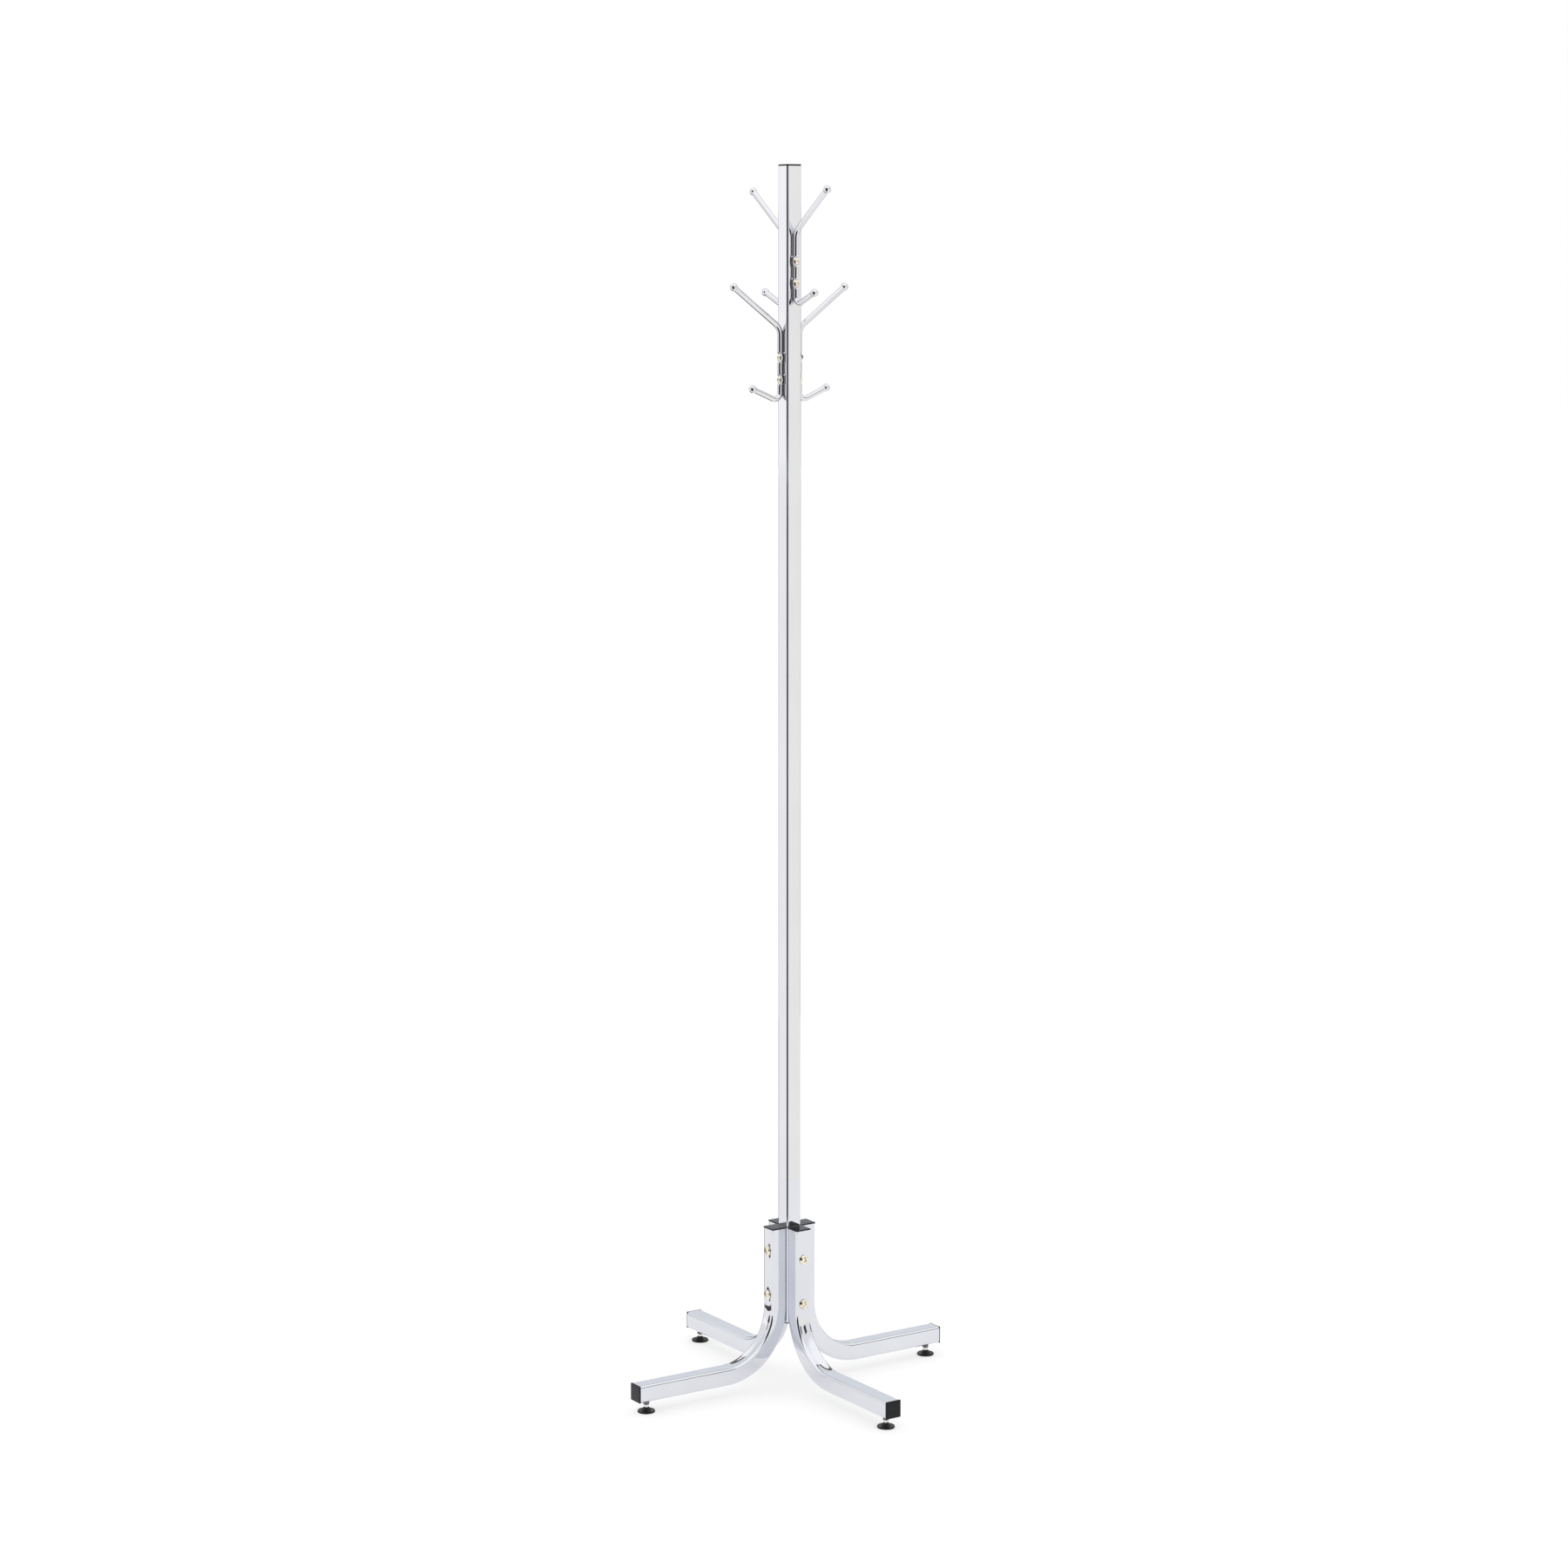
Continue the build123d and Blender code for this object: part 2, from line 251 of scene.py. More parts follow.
def smoothstep(low, high, value):
    """0 below low and 1 above high, with an S curve between."""
    t = min(max((value - low) / (high - low), 0.0), 1.0)
    return t * t * (3 - 2 * t)


# ---------------------------------------------------------------- square tube

CORNER_STEPS = 10
FLAT_STEPS = 16
SLOPE_STEP = 0.05 * MM


def square_section(inset=0.0, outline_corner=TUBE_CORNER):
    """Points of a square section as (across, up, normal across, normal up, quarter, place along its flat).

    The quarter is which flat the point lies on, or -1 on a rounded corner."""
    half = HALF_TUBE - inset
    corner = max(outline_corner - inset, SMALLEST_CORNER)
    flat = half - corner
    points = []
    for quarter in range(4):
        facing = math.radians(90 * quarter)
        normal = (math.cos(facing), math.sin(facing))
        along = (-normal[1], normal[0])
        for i in range(FLAT_STEPS + 1):
            w = flat * (2 * i / FLAT_STEPS - 1)
            a, b = normal[0] * half + along[0] * w, normal[1] * half + along[1] * w
            points.append((a, b, *normal, quarter, w))
        centre = ((normal[0] + along[0]) * flat, (normal[1] + along[1]) * flat)
        for i in range(1, CORNER_STEPS):
            angle = facing + math.radians(90 * i / CORNER_STEPS)
            n = (math.cos(angle), math.sin(angle))
            points.append((centre[0] + corner * n[0], centre[1] + corner * n[1], *n, -1, 0.0))
    return points


def swept_tube(stations, dent=None):
    """A hollow square tube through stations of (origin, across, up, tangent, distance).

    dent(quarter, w, distance) is how far a flat is pressed in, with w measured across that flat."""
    shell = Shell()
    rings = {}
    for skin, inset in (("outer", 0.0), ("inner", TUBE_WALL)):
        section = square_section(inset)
        rings[skin] = []
        for origin, across, up, tangent, distance in stations:
            points, normals = [], []
            for a, b, na, nb, quarter, w in section:
                normal = across * na + up * nb
                place = origin + across * a + up * b
                if dent is not None and skin == "outer" and quarter >= 0:
                    depth = dent(quarter, w, distance)
                    slope_w = (dent(quarter, w + SLOPE_STEP, distance) - depth) / SLOPE_STEP
                    slope_s = (dent(quarter, w, distance + SLOPE_STEP) - depth) / SLOPE_STEP
                    facing = math.radians(90 * quarter)
                    along = across * -math.sin(facing) + up * math.cos(facing)
                    place = place - normal * depth
                    normal = (normal + along * slope_w + tangent * slope_s).normalized()
                points.append(place)
                normals.append(normal)
            rings[skin].append((shell.ring(points), normals))
    for (low, low_normals), (high, high_normals) in zip(rings["outer"], rings["outer"][1:]):
        shell.band(low, high, low_normals, high_normals)
    for (low, low_normals), (high, high_normals) in zip(rings["inner"], rings["inner"][1:]):
        shell.band(high, low, [-n for n in high_normals], [-n for n in low_normals])
    start, end = stations[0][3], stations[-1][3]
    shell.flat_band(rings["inner"][0][0], rings["outer"][0][0], -start)
    shell.flat_band(rings["outer"][-1][0], rings["inner"][-1][0], end)
    return shell


# ---------------------------------------------------------------- materials

# Noise scales are per metre
METAL_TINT_SCALE = 9.0
METAL_SMUDGE_SCALE = 34.0
METAL_WAVE_SCALE = 14.0
METAL_GRAIN_SCALE = 2600.0
METAL_GRAIN_DEPTH = 0.002 * MM
PLASTIC_BLOOM_SCALE = 160.0
PLASTIC_SMUDGE_SCALE = 90.0
PLASTIC_GRAIN_SCALE = 1900.0
EVEN = (1, 1, 1)


def nodes_of(material):
    """A material's node tree and its main shader."""
    material.use_nodes = True
    tree = material.node_tree
    return tree, tree.nodes["Principled BSDF"]


def add(tree, kind, **inputs):
    """A node with its inputs set: a number, a colour or another node's output."""
    node = tree.nodes.new(kind)
    for name, value in inputs.items():
        socket = node.inputs[name.replace("_", " ")]
        if isinstance(value, bpy.types.NodeSocket):
            tree.links.new(value, socket)
        else:
            socket.default_value = value
    return node


def noise(tree, vector, scale, detail=3.0, roughness=0.5):
    """The factor of a noise texture."""
    node = add(tree, "ShaderNodeTexNoise", Scale=scale, Detail=detail, Roughness=roughness)
    tree.links.new(vector, node.inputs["Vector"])
    return node.outputs["Fac"]


def ramp(tree, factor, stops):
    """A colour ramp; each stop is (position, colour)."""
    node = tree.nodes.new("ShaderNodeValToRGB")
    tree.links.new(factor, node.inputs["Fac"])
    elements = node.color_ramp.elements
    while len(elements) < len(stops):
        elements.new(0.5)
    for element, (position, colour) in zip(elements, stops):
        element.position = position
        element.color = (*colour, 1.0)
    return node.outputs["Color"]


def scaled(tree, factor, low, high, from_low=0.3, from_high=0.7):
    """A factor taken from one range to another."""
    node = add(tree, "ShaderNodeMapRange", Value=factor)
    node.inputs["From Min"].default_value = from_low
    node.inputs["From Max"].default_value = from_high
    node.inputs["To Min"].default_value = low
    node.inputs["To Max"].default_value = high
    return node.outputs["Result"]


def stretched(tree, scale):
    """The object's own coordinates, scaled along each axis."""
    coordinates = tree.nodes.new("ShaderNodeTexCoord").outputs["Object"]
    node = add(tree, "ShaderNodeMapping")
    tree.links.new(coordinates, node.inputs["Vector"])
    node.inputs["Scale"].default_value = scale
    return node.outputs["Vector"]


def plated_metal(name, light, dark, roughness, wave_depth, grain_stretch=EVEN):
    """Plated metal: a slow waviness, fine polishing grain, and faint uneven gloss and tint."""
    material = bpy.data.materials.new(name)
    tree, shader = nodes_of(material)
    even = stretched(tree, EVEN)
    grain = stretched(tree, grain_stretch)
    tint = noise(tree, even, METAL_TINT_SCALE, 4.0)
    tree.links.new(ramp(tree, tint, [(0.3, dark), (0.7, light)]), shader.inputs["Base Color"])
    shader.inputs["Metallic"].default_value = 1.0
    smudge = noise(tree, even, METAL_SMUDGE_SCALE, 5.0, 0.6)
    tree.links.new(scaled(tree, smudge, *roughness), shader.inputs["Roughness"])
    wave_height = noise(tree, even, METAL_WAVE_SCALE, 1.0)
    wave = add(tree, "ShaderNodeBump", Height=wave_height, Strength=1.0, Distance=wave_depth)
    fine = add(
        tree,
        "ShaderNodeBump",
        Height=noise(tree, grain, METAL_GRAIN_SCALE, 2.0),
        Strength=0.35,
        Distance=METAL_GRAIN_DEPTH,
        Normal=wave.outputs["Normal"],
    )
    tree.links.new(fine.outputs["Normal"], shader.inputs["Normal"])
    return material


def moulded_plastic(name, base, worn, roughness, grain_depth, gloss):
    """Moulded plastic: a fine spark-eroded grain, uneven gloss, and a slightly paler bloom."""
    material = bpy.data.materials.new(name)
    tree, shader = nodes_of(material)
    even = stretched(tree, EVEN)
    bloom = noise(tree, even, PLASTIC_BLOOM_SCALE, 6.0, 0.65)
    tree.links.new(ramp(tree, bloom, [(0.42, base), (0.78, worn)]), shader.inputs["Base Color"])
    smudge = noise(tree, even, PLASTIC_SMUDGE_SCALE, 3.0)
    tree.links.new(scaled(tree, smudge, *roughness), shader.inputs["Roughness"])
    shader.inputs["Specular IOR Level"].default_value = gloss
    grain_height = noise(tree, even, PLASTIC_GRAIN_SCALE, 2.0)
    grain = add(tree, "ShaderNodeBump", Height=grain_height, Strength=0.5, Distance=grain_depth)
    tree.links.new(grain.outputs["Normal"], shader.inputs["Normal"])
    return material


CHROME_TUBE = plated_metal(
    "chrome_tube", (0.735, 0.75, 0.79), (0.70, 0.712, 0.757), (0.04, 0.08), 0.10 * MM, (1, 1, 0.05)
)
CHROME_ROD = plated_metal("chrome_rod", (0.76, 0.76, 0.79), (0.72, 0.72, 0.75), (0.03, 0.07), 0.05 * MM)
NICKEL = plated_metal("nickel", (0.93, 0.87, 0.74), (0.84, 0.77, 0.63), (0.10, 0.24), 0.05 * MM)
ZINC = plated_metal("zinc", (0.90, 0.88, 0.82), (0.80, 0.78, 0.72), (0.16, 0.30), 0.05 * MM)
# Painted shade: the collar's zinc is darkened to a dark grey to stand in for the shade that falls on it under
# the leg
ZINC_WITH_PAINTED_SHADE = plated_metal("zinc_painted_shade", (0.20, 0.20, 0.22), (0.12, 0.12, 0.13), (0.25, 0.42), 0.05 * MM)
CAP_BLACK = moulded_plastic(
    "cap_black", (0.002, 0.002, 0.005), (0.008, 0.009, 0.015), (0.13, 0.24), 0.010 * MM, 0.26
)
PAD_BLACK = moulded_plastic(
    "pad_black", (0.003, 0.003, 0.004), (0.012, 0.012, 0.014), (0.34, 0.50), 0.015 * MM, 0.30
)


# ---------------------------------------------------------------- post and legs

# How deep the walls are pressed in at fasteners and in a leg's bend, and how far that spreads along them
SCREW_DISH = 0.22 * MM
SCREW_DISH_SPREAD = 8.0 * MM
BOLT_DISH = 0.95 * MM
BOLT_DISH_SPREAD = 10.5 * MM
BEND_COLLAPSE = 0.9 * MM
BEND_ONSET = 26 * MM
BEND_OUTSIDE_SHARE = 0.3
BEND_STEPS = 64

# The height of the middle of each hook's two screws
HOOK_MIDDLES = {}
for hook_side in SIDES:
    ball_low, ball_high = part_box(f"hook_ball_high_{hook_side}")
    HOOK_MIDDLES[hook_side] = (ball_low.z + ball_high.z) / 2 - HIGH_BALL[1]


def tube_flat_fade(w):
    """1 along the middle of a flat of the tube, falling smoothly to 0 at its rounded corners."""
    flat = HALF_TUBE - TUBE_CORNER
    return max(1 - (w / flat) ** 2, 0.0) ** 2


def post_dent(quarter, w, height):
    """How far the post's wall is pulled in by the hook screws."""
    side = tuple(SIDES)[quarter]
    depth = 0.0
    for sign in (-1, 1):
        rise = height - HOOK_MIDDLES[side] - sign * SCREW_SPACING / 2
        away = (rise**2 + w * w) / SCREW_DISH_SPREAD**2
        depth += SCREW_DISH * math.exp(-away) * tube_flat_fade(w)
    return depth


def post_heights():
    """Heights of the post's stations: close together at the screws, far apart on the plain stretch."""
    lowest, highest = min(HOOK_MIDDLES.values()), max(HOOK_MIDDLES.values())
    margin = SCREW_SPACING / 2 + 3 * SCREW_DISH_SPREAD
    plain = np.linspace(POST_LOW.z, lowest - margin, 40)
    screws = np.linspace(lowest - margin, highest + margin, 180)[1:]
    return [*plain, *screws, *np.linspace(highest + margin, POST_HIGH.z, 8)[1:]]


def build_post():
    x, y, z = Vector((1, 0, 0)), Vector((0, 1, 0)), Vector((0, 0, 1))
    stations = [(Vector((0, 0, h)), x, y, z, h) for h in post_heights()]
    mesh = swept_tube(stations, post_dent).mesh("post")
    piece("post", mesh, CHROME_TUBE, "chrome_tube", "rack", "post_tube")


def leg_stations():
    """Stations of a leg along +X, from its top down, round the bend and out to its tip."""
    x, y, z = Vector((1, 0, 0)), Vector((0, 1, 0)), Vector((0, 0, 1))
    bend_top = LEG_AXIS_HEIGHT + LEG_BEND_RADIUS
    drop = LEG_HIGH.z - bend_top
    stations = []
    for distance in np.linspace(0, drop, 81)[:-1]:
        place = Vector((LEG_RADIAL, 0, LEG_HIGH.z - distance))
        stations.append((place, x, -z, distance))
    centre = Vector((LEG_RADIAL + LEG_BEND_RADIUS, 0, bend_top))
    for i in range(BEND_STEPS + 1):
        a = math.pi / 2 * i / BEND_STEPS
        out = Vector((math.cos(a), 0, math.sin(a)))
        along = Vector((math.sin(a), 0, -math.cos(a)))
        stations.append((centre - out * LEG_BEND_RADIUS, out, along, drop + a * LEG_BEND_RADIUS))
    bend_end = drop + math.pi / 2 * LEG_BEND_RADIUS
    for radial in np.linspace(centre.x, LEG_HIGH.x, 25)[1:]:
        place = Vector((radial, 0, LEG_AXIS_HEIGHT))
        stations.append((place, z, x, bend_end + radial - centre.x))
    return [(place, out, -y, along, distance) for place, out, along, distance in stations]


def leg_dent(heights):
    """How far the leg's upper and outer face is pressed in: round the bolts, and inside the bend."""
    drop = LEG_HIGH.z - LEG_AXIS_HEIGHT - LEG_BEND_RADIUS
    bend_end = drop + math.pi / 2 * LEG_BEND_RADIUS

    def dent(quarter, w, distance):
        if quarter != 0:
            return 0.0
        before = BEND_ONSET * BEND_OUTSIDE_SHARE
        rise = smoothstep(drop - before, drop + BEND_ONSET, distance)
        fall = 1 - smoothstep(bend_end - BEND_ONSET, bend_end + before, distance)
        depth = BEND_COLLAPSE * rise * fall
        for height in heights:
            away = ((LEG_HIGH.z - height - distance) ** 2 + w * w) / BOLT_DISH_SPREAD**2
            depth += BOLT_DISH * math.exp(-away)
        return depth * tube_flat_fade(w)

    return dent


def bolt_heights(node):
    """The heights of the two bolts in a packed group."""
    low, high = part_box(node)
    return (high.z - BOLT_HEAD_R, low.z + BOLT_HEAD_R)


def build_leg(side):
    group = "left_right" if side in ("left", "right") else "front_back"
    shell = swept_tube(leg_stations(), leg_dent(bolt_heights(f"leg_bolts_{group}")))
    mesh = shell.mesh(f"leg_{side}_tube", side_turn(side))
    piece(f"leg_{side}_tube", mesh, CHROME_TUBE, "chrome_tube", "rack", f"leg_{side}")


# ---------------------------------------------------------------- moulded caps


def cap_mesh(name, thickness, plug_depth, flange_corner, matrix):
    """A moulded cap on z = 0: a softly crowned flange with rounded edges, and a hollow plug below."""
    rim_height = thickness - CAP_CROWN
    bore_inset = PLUG_INSET + PLUG_WALL
    # Profiles of (inset from the tube's outline, height)
    plug = [(bore_inset, -PLUG_FLOOR), (bore_inset, -plug_depth), (PLUG_INSET, -plug_depth), (PLUG_INSET, 0)]
    flange = [(CAP_UNDER_EDGE, 0), (0, CAP_UNDER_EDGE)]
    flange += arc_points((CAP_EDGE, rim_height - CAP_EDGE), CAP_EDGE, 180, 90, 8)
    for share in (0.2, 0.4, 0.6, 0.8, 0.96):
        inset = CAP_EDGE + (HALF_TUBE - CAP_EDGE) * share
        flange.append((inset, rim_height + CAP_CROWN * (1 - (1 - share) ** 2)))
    rings = []
    for profile, corner in ((plug, TUBE_CORNER), (flange, flange_corner)):
        rings += [[(a, b, z) for a, b, *_ in square_section(inset, corner)] for inset, z in profile]
    mesh = grid_mesh(name, rings)
    mesh.transform(matrix)
    soft_edges(mesh, 50)
    return mesh


def build_cap(name, node, thickness, plug_depth, corner, matrix):
    mesh = cap_mesh(name, thickness, plug_depth, corner, matrix)
    piece(name, mesh, CAP_BLACK, "black_plastic", "rack", node)


def build_caps():
    """The post's caps are flush with it; the legs' caps have sharper corners than their tube."""
    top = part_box("post_top_cap")[1].z - POST_HIGH.z
    upright = Matrix.Translation((0, 0, POST_HIGH.z))
    build_cap("post_cap", "post_top_cap", top, PLUG_DEPTH, TUBE_CORNER, upright)
    bottom = POST_LOW.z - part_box("post_bottom_plug")[0].z
    flipped = Matrix.Translation((0, 0, POST_LOW.z)) @ Matrix.Rotation(math.pi, 4, "X")
    build_cap("post_foot_plug", "post_bottom_plug", bottom, PLUG_DEPTH, TUBE_CORNER, flipped)
    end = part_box("leg_end_cap_right")[1].x - LEG_HIGH.x
    for side in SIDES:
        turn = side_turn(side)
        node = f"leg_top_cap_{side}"
        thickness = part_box(node)[1].z - LEG_HIGH.z
        up = turn @ Matrix.Translation((LEG_RADIAL, 0, LEG_HIGH.z))
        build_cap(f"leg_{side}_top_cap", node, thickness, PLUG_DEPTH, LEG_CAP_CORNER, up)
        tip = Matrix.Translation((LEG_HIGH.x, 0, LEG_AXIS_HEIGHT))
        out = turn @ tip @ Matrix.Rotation(math.pi / 2, 4, "Y")
        build_cap(f"leg_{side}_end_cap", f"leg_end_cap_{side}", end, END_PLUG_DEPTH, LEG_CAP_CORNER, out)


# ---------------------------------------------------------------- hooks

ARC_STEPS = 24
ROD_STEPS = 48
RING_SPACING = 0.8 * MM
EYE_FLAT_SHARE = 0.36
EYE_END_SHARE = 0.54
EYE_BULGE_SHARE = 0.62
EYE_BULGE_POWER = 1.5
EYE_SQUARENESS = 4
UPRIGHT_LEAN = 0.02


def rounded_path(corners, radii, step):
    """Places and directions along straight runs joined by tangent arcs, in the (radial, height) plane."""
    points = [np.array(c, float) for c in corners]
    runs, previous = [], points[0]
    for i, radius in enumerate(radii, start=1):
        into = (points[i] - points[i - 1]) / np.linalg.norm(points[i] - points[i - 1])
        out = (points[i + 1] - points[i]) / np.linalg.norm(points[i + 1] - points[i])
        turn = math.acos(float(into @ out))
        setback = radius * math.tan(turn / 2)
        start, end = points[i] - into * setback, points[i] + out * setback
        side = 1 if into[0] * out[1] - into[1] * out[0] > 0 else -1
        normal = side * np.array((-into[1], into[0]))
        runs.append(("line", previous, start, into))
        runs.append(("arc", start + normal * radius, radius, into, normal, turn))
        previous = end
    last = (points[-1] - previous) / np.linalg.norm(points[-1] - previous)
    runs.append(("line", previous, points[-1], last))
    places = []
    for kind, *run in runs:
        if kind == "line":
            start, end, direction = run
            count = max(int(np.linalg.norm(end - start) / step), 1)
            places += [(start + (end - start) * i / count, direction) for i in range(count)]
        else:
            centre, radius, into, normal, turn = run
            for i in range(ARC_STEPS):
                a = turn * i / ARC_STEPS
                places.append((
                    centre + radius * (into * math.sin(a) - normal * math.cos(a)),
                    into * math.cos(a) + normal * math.sin(a),
                ))
    places.append((points[-1], last))
    return places


def hook_places():
    """The rod's centre line, from the upper ball to the lower one."""
    corners = (HIGH_BALL, (ROD_RADIAL, HIGH_CORNER), (ROD_RADIAL, LOW_CORNER), LOW_BALL)
    return rounded_path(corners, (HIGH_BEND_RADIUS, LOW_BEND_RADIUS), RING_SPACING)


def flattening(height):
    """1 at the middle of a screw eye, 0 where the rod is round."""
    flat_to, end = EYE_FLAT_SHARE * EYE_LENGTH, EYE_END_SHARE * EYE_LENGTH
    return max(1 - smoothstep(flat_to, end, abs(height - sign * SCREW_SPACING / 2)) for sign in (-1, 1))


def eye_half_width(height):
    """Half the rod's width at a height, wider round each screw."""
    widest = ROD_R
    for sign in (-1, 1):
        away = abs(height - sign * SCREW_SPACING / 2) / (EYE_BULGE_SHARE * EYE_LENGTH)
        if away < 1:
            bulge = (EYE_WIDTH / 2 - ROD_R) * (1 - away**2) ** EYE_BULGE_POWER
            widest = max(widest, ROD_R + bulge)
    return widest


def rod_ring(place, direction):
    """One ring round the rod, flattened at a screw eye and seated on the post's face."""
    upright = abs(direction[0]) < UPRIGHT_LEAN
    flat = flattening(place[1]) if upright else 0.0
    power = 2 / (2 + EYE_SQUARENESS * flat)
    half_width = eye_half_width(place[1]) if upright else ROD_R
    front = ROD_R + (EYE_FACE - ROD_RADIAL - ROD_R) * flat
    back = ROD_R + (ROD_RADIAL - HALF_TUBE - ROD_R) * flat
    # The ring's own outward direction is away from the post, at a right angle to the rod
    outward = np.array((-direction[1], direction[0]))
    ring = []
    for i in range(ROD_STEPS):
        a = 2 * math.pi * i / ROD_STEPS
        c = math.copysign(abs(math.cos(a)) ** power, math.cos(a))
        s = math.copysign(abs(math.sin(a)) ** power, math.sin(a))
        radial, height = place + outward * c * (front if c > 0 else back)
        ring.append((max(radial, HALF_TUBE + ROD_CLEARANCE), half_width * s, height))
    return ring


def hook_rod_mesh(name, matrix):
    """The bent rod, with its two flattened eyes."""
    mesh = grid_mesh(name, [rod_ring(place, direction) for place, direction in hook_places()])
    mesh.transform(matrix)
    soft_edges(mesh, 60)
    return mesh


def ball_mesh(name, matrix):
    """A ball on the rod's end, with a small fillet where it meets the rod."""
    neck = ROD_R + 0.02 * MM
    start = math.degrees(math.asin((neck + 0.22 * MM) / BALL_R))
    # How far the fillet stands out from the neck, at shares of the ball's radius below its centre
    fillet = ((0, 0.83), (0.03 * MM, 0.76), (0.10 * MM, 0.71))
    profile = [(neck + out, -BALL_R * share) for out, share in fillet]
    profile += arc_points((0, 0), BALL_R, start - 90, 89, 28)
    mesh = grid_mesh(name, lathe_rings(profile, 64))
    mesh.transform(matrix)
    soft_edges(mesh, 60)
    return mesh


def rod_end_matrix(place, direction):
    """Z along the direction, which lies in the hook's plane, at a place on the rod's centre line."""
    z = Vector((direction[0], 0, direction[1]))
    y = Vector((0, 1, 0))
    x = y.cross(z)
    matrix = Matrix((x, y, z)).transposed().to_4x4()
    matrix.translation = Vector((place[0], 0, place[1]))
    return matrix


def build_hook(side):
    stand = side_turn(side) @ Matrix.Translation((0, 0, HOOK_MIDDLES[side]))
    rod = hook_rod_mesh(f"hook_{side}_rod", stand)
    piece(f"hook_{side}_rod", rod, CHROME_ROD, "chrome_rod", "rack", f"hook_{side}")
    places = hook_places()
    for end, (place, direction) in (("high", (places[0][0], -places[0][1])), ("low", places[-1])):
        name = f"hook_{side}_{end}_ball"
        ball = ball_mesh(name, stand @ rod_end_matrix(place, direction))
        piece(name, ball, CHROME_ROD, "chrome_rod", "rack", f"hook_ball_{end}_{side}")


# ---------------------------------------------------------------- screws, bolts and nuts


def cross_arm(radius, height, turn):
    """A tapered wedge that cuts one arm of a head's cross recess."""
    # Half length and half width as shares of the radius, and height as a share of the head's
    bottom, top = (0.26, 0.10, 0.45), (0.56, 0.15, 1.2)
    rings = []
    for length, width, z in (bottom, top):
        a, b = radius * length, radius * width
        rings.append([(x, y, height * z) for x, y in ((a, -b), (a, b), (-a, b), (-a, -b))])
    mesh = grid_mesh("cross_arm", rings)
    mesh.transform(Matrix.Rotation(turn, 4, "Z"))
    return mesh


def dome_profile(radius, height):
    """The outline of a low domed head on z = 0, from its underside's edge to its crown."""
    rim = 0.3 * height
    rise = height - rim
    sphere = (radius**2 + rise**2) / (2 * rise)
    edge = 0.12 * height
    open_angle = math.degrees(math.asin(radius / sphere))
    profile = [(radius - edge, 0), (radius, edge), (radius, rim - edge / 2)]
    return profile + arc_points((0, height - sphere), sphere, 90 - open_angle * 0.985, 89.5, 14)


def cap_nut_mesh(radius, height, bore):
    """A domed cap nut on z = 0 with a blind bore."""
    profile = [(0.9 * bore, 0.5 * height), (bore, 0.45 * height), (bore, 0), *dome_profile(radius, height)]
    return grid_mesh("cap_nut", lathe_rings(profile, 64))


def screw_mesh(radius, head_radius, head_height, length):
    """A screw with its head above z = 0, domed, with a cross recess, and its shank down to -length."""
    chamfer = 0.25 * radius
    profile = [(radius - chamfer, -length), (radius, -length + chamfer), (radius, 0)]
    profile += dome_profile(head_radius, head_height)
    head = grid_mesh("head", lathe_rings(profile, 64))
    for turn in (0, math.pi / 2):
        head = carved(head, cross_arm(head_radius, head_height, turn + RECESS_TURN))
    return head


def nut_mesh(flats, height, bore):
    """A hex nut on z = 0 with its corners chamfered at both ends."""
    apothem = flats / 2
    flat_r = 0.94 * apothem
    slope = math.tan(math.radians(30))
    steps = 72
    rings = [[] for _ in range(8)]
    for i in range(steps):
        a = 2 * math.pi * i / steps
        side = apothem / math.cos((a + math.pi / 6) % (math.pi / 3) - math.pi / 6)
        drop = (side - flat_r) * slope
        countersink = 0.12 * bore
        profile = (
            (bore, 0), (bore, height - countersink), (bore + countersink, height), (flat_r, height),
            (side, height - drop), (side, drop), (flat_r, 0), (bore + countersink, 0),
        )
        for ring, (r, z) in zip(rings, profile):
            ring.append((r * math.cos(a), r * math.sin(a), z))
    return grid_mesh("nut", [*rings, rings[0]], closed_ends=False)


def placed_group(name, mesh, matrices):
    """One mesh of several copies, each at its own place."""
    copies = []
    for matrix in matrices:
        copy = mesh.copy()
        copy.transform(matrix)
        copies.append(copy)
    made = joined(name, copies)
    made.validate()
    soft_edges(made, 30)
    return made


def build_through_bolts(name, nodes, side, heights, face, screw, nut):
    """Screws along the side's axis with heads on its far face, and their nuts on its near face."""
    turn = side_turn(side)
    head_places, nut_places = [], []
    for i, height in enumerate(heights):
        # Each is turned a little differently, as when tightened by hand
        for places, way, twist in ((head_places, -1, 0.5 + 0.9 * i), (nut_places, 1, 0.3 * i)):
            stand = turn @ Matrix.Translation((way * face, 0, height))
            outward = Matrix.Rotation(way * math.pi / 2, 4, "Y")
            places.append(stand @ outward @ Matrix.Rotation(twist, 4, "Z"))
    screws = placed_group(f"{name}_screws", screw, head_places)
    piece(f"{name}_screws", screws, NICKEL, "nickel_fastener", "rack", nodes[0])
    nuts = placed_group(f"{name}_nuts", nut, nut_places)
    piece(f"{name}_nuts", nuts, NICKEL, "nickel_fastener", "rack", nodes[1])


